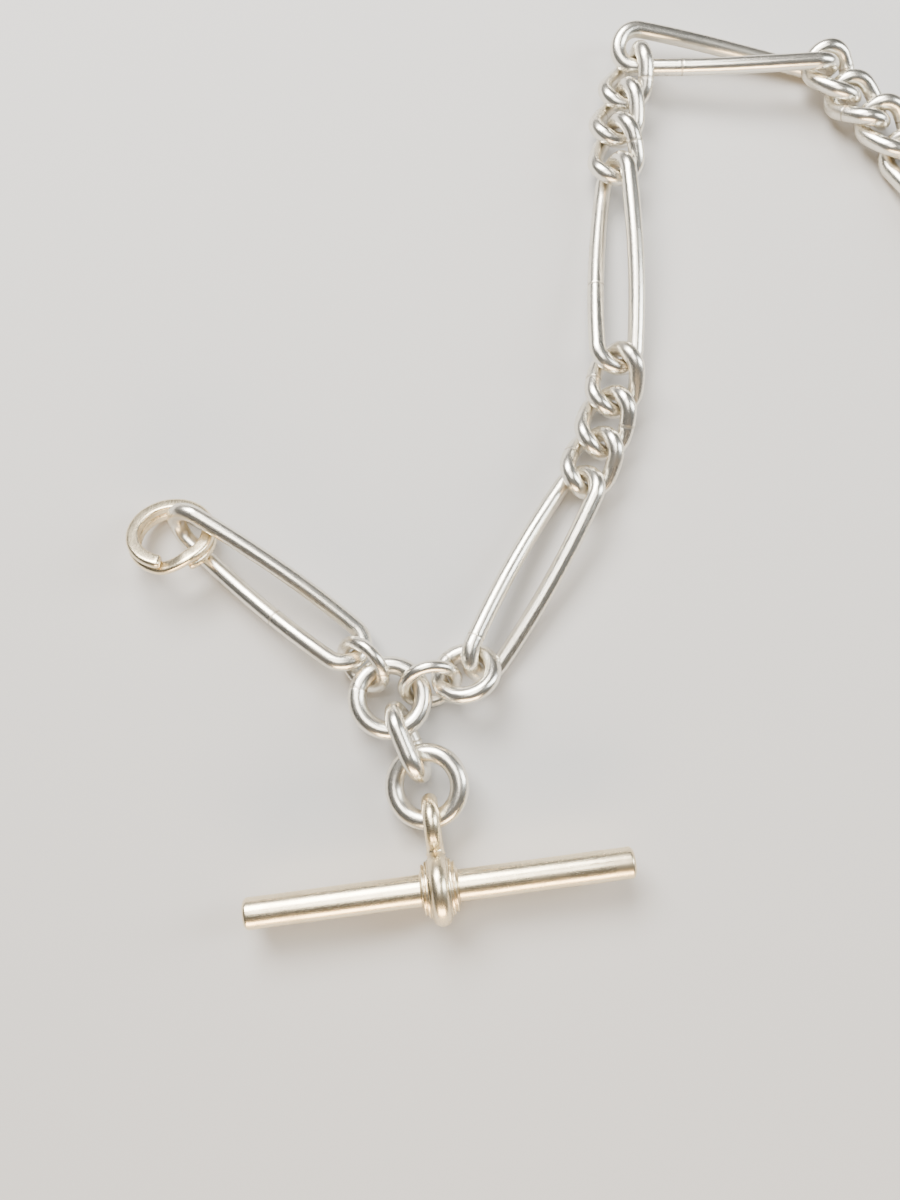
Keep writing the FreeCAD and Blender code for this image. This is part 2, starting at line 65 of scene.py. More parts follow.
def polished_metal(name, bright, dull, sheen, rub):
    """Worn, hand-polished metal: soft stains, drawn lines along the wire, pits and solder, with painted shade
    darkening the inner side of each wire loop.
    """
    metal = bpy.data.materials.new(name)
    metal.use_nodes = True
    tree = metal.node_tree
    skin = tree.nodes["Principled BSDF"]
    skin.inputs["Metallic"].default_value = 1.0
    place = node(tree, "ShaderNodeTexCoord").outputs["Object"]
    own = node(tree, "ShaderNodeAttribute", attribute_name="own").outputs["Vector"]
    solder = node(tree, "ShaderNodeAttribute", attribute_name="solder").outputs["Fac"]
    painted_inner_shade = node(tree, "ShaderNodeAttribute", attribute_name="painted_inner_shade").outputs["Fac"]

    stain = node(tree, "ShaderNodeTexNoise", {"Vector": place, "Scale": 330, "Detail": 5,
                                              "Roughness": 0.6}).outputs["Fac"]
    stain = node(tree, "ShaderNodeMapRange", {"Value": stain, "From Min": 0.48,
                                              "From Max": 0.74}).outputs["Result"]
    lines_at = node(tree, "ShaderNodeVectorMath", {0: own, 1: (0.55, 7.0, 7.0)},
                    operation="MULTIPLY").outputs[0]
    lines = node(tree, "ShaderNodeTexNoise", {"Vector": lines_at, "Scale": 1.6, "Detail": 4,
                                              "Roughness": 0.65}).outputs["Fac"]
    rubs = node(tree, "ShaderNodeTexNoise", {"Vector": place, "Scale": 1500, "Detail": 3,
                                             "Roughness": 0.55}).outputs["Fac"]
    pits = node(tree, "ShaderNodeTexVoronoi", {"Vector": place, "Scale": 900,
                                               "Randomness": 1.0}).outputs["Distance"]
    pits = node(tree, "ShaderNodeMapRange", {"Value": pits, "From Min": 0.07, "From Max": 0.16,
                                             "To Min": 1.0, "To Max": 0.0}).outputs["Result"]
    pits = sums(tree, "MULTIPLY", pits, stain)

    # The colour darkens toward the dull tone with stains, solder marks and pits, and with painted shade on
    # the inner side of each loop.
    marks_and_shade = sums(tree, "MULTIPLY", stain, 0.38)
    marks_and_shade = sums(tree, "ADD", marks_and_shade, sums(tree, "MULTIPLY", painted_inner_shade, 0.3))
    marks_and_shade = sums(tree, "ADD", marks_and_shade, sums(tree, "MULTIPLY", solder, 0.75))
    marks_and_shade = node(tree, "ShaderNodeMath", {0: marks_and_shade, 1: sums(tree, "MULTIPLY", pits, 0.6)},
                 operation="ADD", use_clamp=True).outputs[0]
    colour = node(tree, "ShaderNodeMix", {"Factor": marks_and_shade}, data_type="RGBA")
    colour.inputs[6].default_value = bright
    colour.inputs[7].default_value = dull
    tree.links.new(colour.outputs[2], skin.inputs["Base Color"])

    rough = sums(tree, "ADD", sheen, sums(tree, "MULTIPLY", lines, rub))
    rough = sums(tree, "ADD", rough, sums(tree, "MULTIPLY", marks_and_shade, 0.2))
    tree.links.new(rough, skin.inputs["Roughness"])

    relief = sums(tree, "ADD", sums(tree, "MULTIPLY", lines, 0.5), sums(tree, "MULTIPLY", rubs, 0.6))
    relief = sums(tree, "SUBTRACT", relief, sums(tree, "MULTIPLY", pits, 0.5))
    relief = sums(tree, "SUBTRACT", relief, sums(tree, "MULTIPLY", solder, 0.9))
    bump = node(tree, "ShaderNodeBump", {"Height": relief, "Strength": 0.35, "Distance": 0.00003})
    tree.links.new(bump.outputs["Normal"], skin.inputs["Normal"])
    return metal


silver = polished_metal("worn_silver", (0.89, 0.845, 0.74, 1), (0.40, 0.34, 0.25, 1), 0.17, 0.16)


def bent_wire_tree(metal):
    """A closed loop of round wire: a circle drawn out to a long link, then twisted end to end."""
    tree = bpy.data.node_groups.new("bent_wire", "GeometryNodeTree")
    tree.is_modifier = True
    faces = tree.interface
    faces.new_socket("Geometry", in_out="OUTPUT", socket_type="NodeSocketGeometry")
    for label, value in (("Half Length", 0.003), ("Bend Radius", 0.002), ("Wire", 0.0016),
                         ("Twist", 0.0), ("Solder Place", 0.0), ("Unevenness", 0.00002),
                         ("Wear Seed", 0.0)):
        faces.new_socket(label, in_out="INPUT", socket_type="NodeSocketFloat").default_value = value
    for label, value in (("Steps Along", 160), ("Steps Round", 28)):
        faces.new_socket(label, in_out="INPUT", socket_type="NodeSocketInt").default_value = value
    faces.new_socket("Place", in_out="INPUT", socket_type="NodeSocketVector")
    faces.new_socket("Turn", in_out="INPUT", socket_type="NodeSocketRotation")
    given = node(tree, "NodeGroupInput").outputs
    half, bend = given["Half Length"], given["Bend Radius"]

    circle = node(tree, "GeometryNodeCurvePrimitiveCircle", {"Resolution": 98, "Radius": bend})
    at = node(tree, "ShaderNodeSeparateXYZ", {0: node(tree, "GeometryNodeInputPosition").outputs[0]})
    drawn = sums(tree, "MULTIPLY", sums(tree, "SIGN", at.outputs["X"]),
                 sums(tree, "SUBTRACT", half, bend))
    shift = node(tree, "ShaderNodeCombineXYZ", {"X": drawn}).outputs[0]
    loop = node(tree, "GeometryNodeSetPosition", {"Geometry": circle.outputs["Curve"], "Offset": shift})
    even = node(tree, "GeometryNodeResampleCurve", {"Curve": loop.outputs[0], "Count": given["Steps Along"]})

    where = node(tree, "GeometryNodeInputPosition").outputs[0]
    at = node(tree, "ShaderNodeSeparateXYZ", {0: where}).outputs
    lean = sums(tree, "MULTIPLY", sums(tree, "DIVIDE", at["X"], half),
                sums(tree, "MULTIPLY", given["Twist"], -0.5))
    leant = node(tree, "ShaderNodeCombineXYZ", {
        "X": at["X"],
        "Y": sums(tree, "MULTIPLY", at["Y"], sums(tree, "COSINE", lean)),
        "Z": sums(tree, "MULTIPLY", at["Y"], sums(tree, "SINE", lean))}).outputs[0]
    noise = node(tree, "ShaderNodeTexNoise", {"Vector": where, "W": given["Wear Seed"], "Scale": 140,
                                              "Detail": 1}, noise_dimensions="4D").outputs["Color"]
    wander = node(tree, "ShaderNodeVectorMath", {0: noise, 1: (0.5, 0.5, 0.5)},
                  operation="SUBTRACT").outputs[0]
    wander = node(tree, "ShaderNodeVectorMath", {0: wander, "Scale": given["Unevenness"]},
                  operation="SCALE").outputs[0]
    bent = node(tree, "GeometryNodeSetPosition", {"Geometry": even.outputs[0], "Position": leant,
                                                  "Offset": wander})

    part = node(tree, "GeometryNodeSplineParameter").outputs["Factor"]
    part = sums(tree, "FRACT", sums(tree, "ADD", sums(tree, "SUBTRACT", part, given["Solder Place"]), 1.0))
    length = sums(tree, "ADD", sums(tree, "MULTIPLY", sums(tree, "SUBTRACT", half, bend), 4.0),
                  sums(tree, "MULTIPLY", bend, 2 * math.pi))
    to_solder = sums(tree, "MINIMUM", part, sums(tree, "SUBTRACT", 1.0, part))
    near_solder = sums(tree, "MULTIPLY", to_solder, length)
    mark = node(tree, "ShaderNodeMapRange", {"Value": near_solder, "From Min": 0.00003, "From Max": 0.00011,
                                             "To Min": 1.0, "To Max": 0.0}).outputs["Result"]
    swell = node(tree, "ShaderNodeMapRange", {"Value": near_solder, "From Min": 0.0, "From Max": 0.0006,
                                              "To Min": 1.0, "To Max": 0.0},
                 interpolation_type="SMOOTHSTEP").outputs["Result"]
    thick = sums(tree, "ADD", 1.0, sums(tree, "MULTIPLY", swell, 0.008))
    thick = sums(tree, "SUBTRACT", thick, sums(tree, "MULTIPLY", mark, 0.02))
    thick = sums(tree, "MULTIPLY", thick, sums(tree, "MULTIPLY", given["Wire"], 0.5))

    kept = bent.outputs[0]
    for label, value, kind in (("spot", node(tree, "GeometryNodeInputPosition").outputs[0], "FLOAT_VECTOR"),
                               ("along", sums(tree, "MULTIPLY", part, length), "FLOAT"),
                               ("solder", mark, "FLOAT")):
        kept = node(tree, "GeometryNodeStoreNamedAttribute",
                    {"Geometry": kept, "Name": label, "Value": value}, data_type=kind).outputs[0]
    section = node(tree, "GeometryNodeCurvePrimitiveCircle", {"Resolution": given["Steps Round"],
                                                              "Radius": 1.0})
    around = node(tree, "GeometryNodeStoreNamedAttribute", {
        "Geometry": section.outputs["Curve"], "Name": "round",
        "Value": node(tree, "GeometryNodeInputPosition").outputs[0]}, data_type="FLOAT_VECTOR").outputs[0]
    swept = node(tree, "GeometryNodeCurveToMesh", {"Curve": kept, "Profile Curve": around, "Scale": thick})

    named = {label: node(tree, "GeometryNodeInputNamedAttribute", {"Name": label}, data_type=kind)
             for label, kind in (("spot", "FLOAT_VECTOR"), ("along", "FLOAT"), ("round", "FLOAT_VECTOR"))}
    ring = node(tree, "ShaderNodeVectorMath", {0: named["round"].outputs[0], 1: (0, 0, 0)}, operation="ADD")
    parts = node(tree, "ShaderNodeSeparateXYZ", {0: ring.outputs[0]}).outputs
    mm_along = sums(tree, "MULTIPLY", named["along"].outputs[0], 1000.0)
    own = node(tree, "ShaderNodeCombineXYZ", {
        "X": sums(tree, "ADD", mm_along, sums(tree, "MULTIPLY", given["Wear Seed"], 37.0)),
        "Y": parts["X"], "Z": parts["Y"]}).outputs[0]
    # Painted shade mask: how far the wire surface faces the middle of its loop, stored so the inner side of
    # each loop is darkened.
    surface = node(tree, "GeometryNodeInputPosition").outputs[0]
    outward = node(tree, "ShaderNodeVectorMath", {0: surface, 1: named["spot"].outputs[0]},
                   operation="SUBTRACT").outputs[0]
    across = node(tree, "ShaderNodeSeparateXYZ", {0: named["spot"].outputs[0]}).outputs
    axis_x = node(tree, "ShaderNodeClamp", {
        "Value": across["X"], "Min": sums(tree, "SUBTRACT", bend, half),
        "Max": sums(tree, "SUBTRACT", half, bend)}).outputs[0]
    axis_point = node(tree, "ShaderNodeCombineXYZ", {"X": axis_x}).outputs[0]
    inward = node(tree, "ShaderNodeVectorMath", {0: axis_point, 1: named["spot"].outputs[0]},
                  operation="SUBTRACT").outputs[0]
    inward = node(tree, "ShaderNodeVectorMath", {0: inward}, operation="NORMALIZE").outputs[0]
    outward = node(tree, "ShaderNodeVectorMath", {0: outward}, operation="NORMALIZE").outputs[0]
    facing = node(tree, "ShaderNodeVectorMath", {0: inward, 1: outward},
                  operation="DOT_PRODUCT").outputs["Value"]
    inner = node(tree, "ShaderNodeMapRange", {"Value": facing, "From Min": 0.2,
                                              "From Max": 1.0}).outputs["Result"]

    result = swept.outputs[0]
    for label, value, kind in (("own", own, "FLOAT_VECTOR"), ("painted_inner_shade", inner, "FLOAT")):
        result = node(tree, "GeometryNodeStoreNamedAttribute", {"Geometry": result, "Name": label,
                                                                "Value": value}, data_type=kind).outputs[0]
    result = node(tree, "GeometryNodeTransform", {"Geometry": result, "Translation": given["Place"],
                                                  "Rotation": given["Turn"]}).outputs[0]
    result = node(tree, "GeometryNodeSetShadeSmooth", {"Geometry": result}).outputs[0]
    result = node(tree, "GeometryNodeRealizeInstances", {"Geometry": result}).outputs[0]
    result = node(tree, "GeometryNodeSetMaterial", {"Geometry": result, "Material": metal}).outputs[0]
    node(tree, "NodeGroupOutput", {0: result})
    return tree


bent_wire = bent_wire_tree(silver)


def wire_loop(label, sizes, x, y, z, heading, climb, roll, solder):
    """One closed loop of wire in its place, riding on its own body. Places are in millimetres."""
    half, bend, wire, twist, steps = sizes
    blank = bpy.data.objects.new(label + "_blank", bpy.data.meshes.new(label))
    bpy.context.collection.objects.link(blank)
    shaping = blank.modifiers.new("bent wire", "NODES")
    shaping.node_group = bent_wire
    wanted = {
        "Half Length": half * MM, "Bend Radius": bend * MM, "Wire": wire * MM, "Twist": math.radians(twist),
        "Solder Place": solder, "Wear Seed": math.fmod(7.3 * abs(x + 2 * y), 5.0), "Steps Along": steps,
        "Place": Vector((x, y, z)) * MM - MIDDLE,
        "Turn": Euler((math.radians(roll), math.radians(-climb), math.radians(heading))),
    }
    for item in bent_wire.interface.items_tree:
        if item.name in wanted:
            shaping[item.identifier] = wanted[item.name]
    blank.update_tag()
    seen = blank.evaluated_get(bpy.context.evaluated_depsgraph_get())
    loop = bpy.data.objects.new(label + "_wire", bpy.data.meshes.new_from_object(seen))
    bpy.data.objects.remove(blank)
    bpy.context.collection.objects.link(loop)
    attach(loop, label)
    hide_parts(label)
    return loop


RING = (2.9, 2.9, 1.64, 0, 130)
CHAIN_RING = (2.42, 2.42, 1.52, 0, 120)
JUMP_RING = (2.32, 2.32, 1.15, 0, 120)
wire_loop("centre_ring", RING, -5.25, -8.8, 2.55, 61, -6, 0, 0.29)
wire_loop("t_bar_ring", RING, -2.0, -16.45, 2.8, -166, -13, 0, 0.80)
wire_loop("chain_ring", CHAIN_RING, 1.4, -6.65, 2.65, -65, 34, 0, 0.56)
wire_loop("fob_jump_ring", JUMP_RING, -7.65, -5.9, 2.55, 44, 59, 0, 0.86)
wire_loop("chain_jump_ring", JUMP_RING, -1.75, -7.6, 2.5, 104, 56, 0, 0.63)
wire_loop("end_jump_ring", JUMP_RING, 89.85, -16.08, 2.82, 42.5, 1.6, -75.2, 0.4)

# ---------------------------------------------------------------------------- drop link and fob link
# A short straight link of heavier wire joins the centre ring to the T-bar ring. The fob link is a
# long link like those of the main chain. Both are bent wire, soldered on one side.
DROP = (3.0, 1.95, 1.6, 0, 150)
LONG = (10.45, 1.9, 1.55, 90, 460)
wire_loop("drop_link", DROP, -3.65, -12.65, 2.75, -67, -1.5, -79, 0.24)
wire_loop("fob_long_link", LONG, -16.35, 1.2, 2.75, 143, 1, -21, 0.30)

# -------------------------------------------------------------------------------------- main chain
# Long links with three short curb links between them, all of the same round wire and all twisted
# a quarter turn the same way, so that the chain lies flat. Each hooks over the end of the last.
# The places are those of the part's source. They come from a separate fitting program.
CURB = (2.875, 1.98, 1.5, 90, 150)
wire_loop("long_link_1", LONG, 7.45, 2.55, 2.25, 60.5, 1, 2.5, 0.42)
wire_loop("curb_link_1", CURB, 12.96, 12.82, 2.37, 67.6, -0.4, -6.2, 0.25)
wire_loop("curb_link_2", CURB, 14.32, 16.62, 2.42, 74.3, 1.4, -9.5, 0.75)
wire_loop("curb_link_3", CURB, 15.26, 20.53, 2.79, 82.2, 8.1, -13.4, 0.27)
wire_loop("long_link_2", LONG, 15.64, 32.12, 2.95, 88.5, -0.5, -22.3, 0.30)
wire_loop("curb_link_4", CURB, 15.95, 43.75, 2.9, 88.8, 0, -30.7, 0.77)
wire_loop("curb_link_5", CURB, 16.33, 47.78, 2.69, 77.4, -3.7, -33.7, 0.24)
wire_loop("curb_link_6", CURB, 17.45, 51.71, 2.65, 71.6, 2.4, -38.1, 0.73)
wire_loop("long_link_3", LONG, 26.89, 53.94, 2.73, -5.2, -1.4, -28.9, 0.66)
wire_loop("curb_link_7", CURB, 37.77, 52.15, 2.39, -48.5, -11.6, -16.2, 0.25)
wire_loop("curb_link_8", CURB, 40.07, 49.22, 2.21, -47.1, 4.3, -9.4, 0.74)
wire_loop("curb_link_9", CURB, 42.76, 46.37, 2.11, -52.1, -7, -5.7, 0.26)
wire_loop("long_link_4", LONG, 49.29, 36.88, 2.33, -55.1, 2.8, -4, 0.20)
wire_loop("curb_link_10", CURB, 55.53, 27.4, 2.63, -71.3, -8.2, -0.8, 0.76)
wire_loop("curb_link_11", CURB, 56.44, 23.61, 2.12, -81, -7.8, 3.7, 0.25)
wire_loop("curb_link_12", CURB, 56.6, 19.64, 1.99, -88, 3.1, 8.4, 0.73)
wire_loop("long_link_5", LONG, 55.83, 8.18, 2.2, -95.4, -0.3, 11.5, 0.35)
wire_loop("curb_link_13", CURB, 55.07, -3.27, 2.05, -89, 0.8, 14.6, 0.24)
wire_loop("curb_link_14", CURB, 55.11, -7.23, 2.13, -89.7, 1.6, 18.3, 0.76)
wire_loop("curb_link_15", CURB, 55.18, -11.14, 2.39, -86.7, 7.3, 22.3, 0.26)
wire_loop("long_link_6", LONG, 60.04, -21.39, 2.59, -62.1, -0.1, 24.8, 0.85)
wire_loop("curb_link_16", CURB, 66.35, -30.76, 2.42, -37.4, 2, 31.1, 0.75)
wire_loop("curb_link_17", CURB, 69.87, -32.15, 2.55, -12.3, 0.3, 43.4, 0.25)
wire_loop("curb_link_18", CURB, 73.72, -31.74, 2.64, 15.5, -3.1, 54.2, 0.74)
wire_loop("long_link_7", LONG, 82.17, -24.16, 2.93, 45.2, 1.3, 57.9, 0.31)

# ------------------------------------------------------------------------------------------ T-bar
# A solid drawn rod with plain ends goes through a domed band with a stepped collar on each side.
# The eye is thick wire soldered upright on the band. All of it has a warmer, champagne tone.
champagne = polished_metal("champagne_silver", (0.92, 0.79, 0.55, 1), (0.42, 0.31, 0.17, 1), 0.17, 0.18)
T_BAR_AT = Matrix.Translation(Vector((-0.85, -24.9, 3.15)) * MM - MIDDLE) @ Euler(
    (math.radians(-4), 0, math.radians(7.4))).to_matrix().to_4x4()


def rounded_outline(points, ease, steps=5):
    """A half outline of (along, out) points in millimetres, with its inner corners rounded."""
    smooth = [points[0]]
    for before, corner, after in zip(points, points[1:], points[2:]):
        before, corner, after = Vector(before), Vector(corner), Vector(after)
        reach = min(ease, (before - corner).length / 2, (after - corner).length / 2)
        start = corner + (before - corner).normalized() * reach
        end = corner + (after - corner).normalized() * reach
        for k in range(steps + 1):
            part = k / steps
            smooth.append(tuple(start.lerp(corner, part).lerp(corner.lerp(end, part), part)))
    return smooth + [points[-1]]


def turn_on_lathe(mesh, outline, steps=72):
    """Spins a half outline round the X axis; its first and last points may lie on the axis."""
    rings = []
    for along, out in outline:
        if out < 1e-5:
            rings.append([mesh.verts.new((along, 0, 0))])
            continue
        turns = (2 * math.pi * k / steps for k in range(steps))
        rings.append([mesh.verts.new((along, out * math.cos(a), out * math.sin(a))) for a in turns])
    for one, two in zip(rings, rings[1:]):
        for k in range(steps):
            corners = [one[k % len(one)], two[k % len(two)], two[(k + 1) % len(two)], one[(k + 1) % len(one)]]
            if len(set(corners)) > 2:
                mesh.faces.new(list(dict.fromkeys(corners)))
    return rings


def sweep_wire(mesh, path, thickness, steps=24):
    """Round wire along a run of points, its diameter given point by point, with its ends closed flat."""
    path = [Vector(point) for point in path]
    side = None
    rings = []
    for k, point in enumerate(path):
        ahead = (path[min(k + 1, len(path) - 1)] - path[max(k - 1, 0)]).normalized()
        if side is None:
            side = ahead.orthogonal().normalized()
        side = (side - ahead * side.dot(ahead)).normalized()
        up = ahead.cross(side)
        radius = thickness[k] / 2
        turns = (2 * math.pi * j / steps for j in range(steps))
        rings.append([mesh.verts.new(point + (side * math.cos(a) + up * math.sin(a)) * radius)
                      for a in turns])
    for one, two in zip(rings, rings[1:]):
        for j in range(steps):
            mesh.faces.new((one[j], one[(j + 1) % steps], two[(j + 1) % steps], two[j]))
    for end, inner, way in ((rings[0], path[0] - path[1], 1), (rings[-1], path[-1] - path[-2], -1)):
        tip = mesh.verts.new(sum((v.co for v in end), Vector()) / steps + inner.normalized() * 1e-6)
        for j in range(steps):
            pair = (end[(j + 1) % steps], end[j]) if way > 0 else (end[j], end[(j + 1) % steps])
            mesh.faces.new((*pair, tip))


def ring_of_wire(mesh, radius, wire, at=Matrix(), steps=96, round_steps=28):
    """A closed ring of round wire in the XY plane of its own frame."""
    rings = []
    for k in range(steps):
        turn = 2 * math.pi * k / steps
        out = Vector((math.cos(turn), math.sin(turn), 0))
        turns = (2 * math.pi * j / round_steps for j in range(round_steps))
        rings.append([mesh.verts.new(at @ (out * (radius + wire / 2 * math.cos(a))
                                           + Vector((0, 0, wire / 2 * math.sin(a))))) for a in turns])
    for k in range(steps):
        one, two = rings[k], rings[(k + 1) % steps]
        for j in range(round_steps):
            mesh.faces.new((one[j], two[j], two[(j + 1) % round_steps], one[(j + 1) % round_steps]))


def made_piece(label, mesh, at, body, nodes, metal, grain="XYZ", melt=None):
    """Closes a mesh in millimetres, melts its parts into one if asked, and fixes it in place."""
    bmesh.ops.remove_doubles(mesh, verts=mesh.verts, dist=1e-5)
    bmesh.ops.recalc_face_normals(mesh, faces=mesh.faces)
    data = bpy.data.meshes.new(label)
    mesh.to_mesh(data)
    mesh.free()
    piece = bpy.data.objects.new(label, data)
    bpy.context.collection.objects.link(piece)
    if melt:
        melting = piece.modifiers.new("melt", "REMESH")
        melting.mode, melting.voxel_size, melting.use_smooth_shade = "VOXEL", melt, True
        calm = piece.modifiers.new("calm", "SMOOTH")
        calm.factor, calm.iterations = 0.5, 4
        seen = piece.evaluated_get(bpy.context.evaluated_depsgraph_get())
        piece.data = bpy.data.meshes.new_from_object(seen)
        piece.modifiers.clear()
    data = piece.data
    own = data.attributes.new("own", "FLOAT_VECTOR", "POINT")
    order = ["XYZ".index(letter) for letter in grain]
    for spot, vertex in zip(own.data, data.vertices):
        spot.vector = [vertex.co[k] for k in order]
    data.transform(at @ Matrix.Scale(MM, 4))
    data.polygons.foreach_set("use_smooth", [True] * len(data.polygons))
    data.materials.clear()
    data.materials.append(metal)
    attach(piece, body)
    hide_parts(*nodes)
    return piece


bar = bmesh.new()
turn_on_lathe(bar, rounded_outline(
    [(-16.6, 0), (-16.6, 1.12), (-16.36, 1.35), (16.36, 1.35), (16.6, 1.12), (16.6, 0)], 0.12), 96)
bmesh.ops.subdivide_edges(bar, edges=[e for e in bar.edges if e.calc_length() > 20], cuts=60)
for point in bar.verts:
    if abs(point.co.x) < 16.2:
        worn = 1 - 0.006 * (1 + math.sin(point.co.x * 0.9 + 1.3 * math.sin(point.co.x * 0.37)))
        point.co.y *= worn
        point.co.z *= worn
made_piece("t_bar_polished_rod", bar, T_BAR_AT, "t_bar", ["t_bar_rod"], champagne)

band = bmesh.new()
bead = [(0.78 * math.sin(math.radians(a)), 2.48 + 0.66 * math.cos(math.radians(a)))
        for a in range(-84, 85, 8)]
turn_on_lathe(band, [(-0.94, 1.33), (-0.94, 2.36), (-0.88, 2.46), (-0.77, 2.46), *bead,
                     (0.77, 2.46), (0.88, 2.46), (0.94, 2.36), (0.94, 1.33), (-0.94, 1.33)])
made_piece("t_bar_domed_band", band, T_BAR_AT, "t_bar", ["t_bar_band"], champagne, "YXZ")

for side, way in (("left", -1), ("right", 1)):
    collar = bmesh.new()
    steps = rounded_outline([(0.95, 1.33), (0.95, 2.33), (1.13, 2.33), (1.19, 2.02), (1.25, 2.02),
                             (1.31, 2.14), (1.45, 2.10), (1.52, 1.62), (1.64, 1.42), (1.64, 1.33)], 0.06, 3)
    turn_on_lathe(collar, [(way * along, out) for along, out in steps + steps[:1]])
    made_piece(f"t_bar_stepped_{side}_collar", collar, T_BAR_AT, "t_bar", [f"t_bar_{side}_collar"],
               champagne, "YXZ")

eye = bmesh.new()
eye_turn = Matrix.Translation((0, 5.48, 0)) @ Matrix.Rotation(math.radians(90), 4, "Y")
ring_of_wire(eye, 1.78, 1.42, eye_turn)
neck_path = [(0, 2.75 + 0.1 * k, 0) for k in range(12)]
neck_thick = [1.5 + 0.24 * (1 - min(1, k / 4)) ** 2 for k in range(12)]
sweep_wire(eye, neck_path, neck_thick, 32)
made_piece("t_bar_upright_eye", eye, T_BAR_AT, "t_bar", ["t_bar_eye"], champagne, melt=0.06)

# -------------------------------------------------------------------------------------- split ring
# Two turns of flat springy wire with rounded edges. The wire steps over from the lower turn to the
# upper one beside its two cut ends, where a fob's loop is slipped on.
split = bmesh.new()
SPLIT_AT = Matrix.Translation(Vector((-25.05, 5.7, 2.65)) * MM - MIDDLE) @ Euler(
    (0, math.radians(-26.5), math.radians(-91))).to_matrix().to_4x4()
wall, coil, apart = 1.18, 0.83, 0.445
section = rounded_outline([(-wall / 2, 0), (-wall / 2, -coil / 2), (wall / 2, -coil / 2),
                           (wall / 2, coil / 2), (-wall / 2, coil / 2), (-wall / 2, 0)], 0.41, 5)[:-1]
rings = []
for turn in range(33, 715, 3):
    rise = min(max((turn - 346) / 56, 0), 1)
    level = -apart + 2 * apart * (0.5 - 0.5 * math.cos(math.pi * rise))
    end = min(turn - 33, 714 - turn)
    thin = 1 - 0.2 * max(0, 1 - end / 6) ** 2
    a = math.radians(turn)
    rings.append([split.verts.new(((3.38 + out * thin) * math.cos(a), (3.38 + out * thin) * math.sin(a),
                                   level + up * thin)) for out, up in section])
for one, two in zip(rings, rings[1:]):
    for k in range(len(section)):
        split.faces.new((one[k], two[k], two[(k + 1) % len(section)], one[(k + 1) % len(section)]))
split.faces.new(rings[0])
split.faces.new(rings[-1])
made_piece("split_ring_coils", split, SPLIT_AT, "split_ring", ["split_ring"], champagne)

# ------------------------------------------------------------------------------------------ swivel
# A cast silver hook with a turned barrel, in which the headed stem of the eye turns freely. The
# gate lever hangs on a riveted pin between two lugs and is pressed shut by a small steel spring.
SWIVEL_AT = Matrix.Translation(Vector((91.66, -14.28, 2.09)) * MM - MIDDLE) @ Euler(
    (math.radians(3.7), math.radians(2.4), math.radians(41.1))).to_matrix().to_4x4()
HINGE = Vector((9.0, -1.14, 0))

loop = bmesh.new()
ring_of_wire(loop, 1.9, 1.18)
turn_on_lathe(loop, rounded_outline([(1.9, 0), (1.9, 0.5), (2.45, 0.72), (2.75, 0.66), (2.95, 0.53),
                                     (5.0, 0.53), (5.02, 0.93), (5.58, 0.93), (5.6, 0)], 0.08), 40)
made_piece("swivel_loop", loop, SWIVEL_AT, "swivel_eye", ["swivel_eye"], silver, melt=0.055)

hook = bmesh.new()
turn_on_lathe(hook, rounded_outline([
    (4.6, 0.65), (3.1, 0.65), (3.1, 1.3), (3.32, 1.5), (3.62, 1.5), (3.72, 1.22), (3.9, 1.22), (4.0, 1.62),
    (4.5, 1.78), (5.9, 1.78), (6.35, 1.62), (6.45, 1.3), (6.6, 1.3), (6.7, 1.66), (7.05, 1.66), (7.28, 1.35),
    (7.28, 0), (6.0, 0), (6.0, 1.03), (4.65, 1.03), (4.65, 0.65), (4.6, 0.65)], 0.07), 64)
hook_line = [(9.85 - 2.55 * math.cos(math.radians(a)), 2.55 * math.sin(math.radians(a)), 0)
             for a in range(0, 91, 6)]
hook_line += [(9.85 + 0.31 * k, 2.55, 0) for k in range(1, 20)]
hook_line += [(16.0 + 2.55 * math.sin(math.radians(a)), 2.55 * math.cos(math.radians(a)), 0)
              for a in range(0, 181, 6)]
hook_line += [(16.0 - 0.2 * k, -2.55, 0) for k in range(1, 5)]
last = len(hook_line) - 1
hook_thick = [1.36 + 0.12 * math.sin(math.pi * k / last) - 0.42 * max(0, k - last + 3) / 3
              for k in range(last + 1)]
sweep_wire(hook, hook_line, hook_thick, 32)
for low in (-1.25, 0.66):
    lug = bmesh.ops.create_cube(hook, size=1, matrix=Matrix.Translation((7.8, HINGE.y, low + 0.295))
                                @ Matrix.Diagonal((2.4, 1.18, 0.59, 1)))["verts"]
    edges = list({edge for vertex in lug for edge in vertex.link_edges})
    bmesh.ops.bevel(hook, geom=edges, offset=0.08, segments=2, affect="EDGES")
    bmesh.ops.create_cone(hook, cap_ends=True, segments=36, radius1=0.59, radius2=0.59, depth=0.59,
                          matrix=Matrix.Translation((HINGE.x, HINGE.y, low + 0.295)))
made_piece("swivel_cast_hook", hook, SWIVEL_AT, "swivel_hook", ["swivel_body"], silver, melt=0.06)

pin = bmesh.new()
turn_on_lathe(pin, rounded_outline([(-1.25, 0), (-1.25, 0.3), (-1.16, 0.35), (1.16, 0.35), (1.25, 0.3),
                                    (1.25, 0)], 0.06), 32)
bmesh.ops.transform(pin, verts=pin.verts,
                    matrix=Matrix.Translation(HINGE) @ Matrix.Rotation(math.pi / 2, 4, "Y"))
made_piece("swivel_gate_rivet", pin, SWIVEL_AT, "swivel_hook", ["gate_pin"], silver, "ZXY")

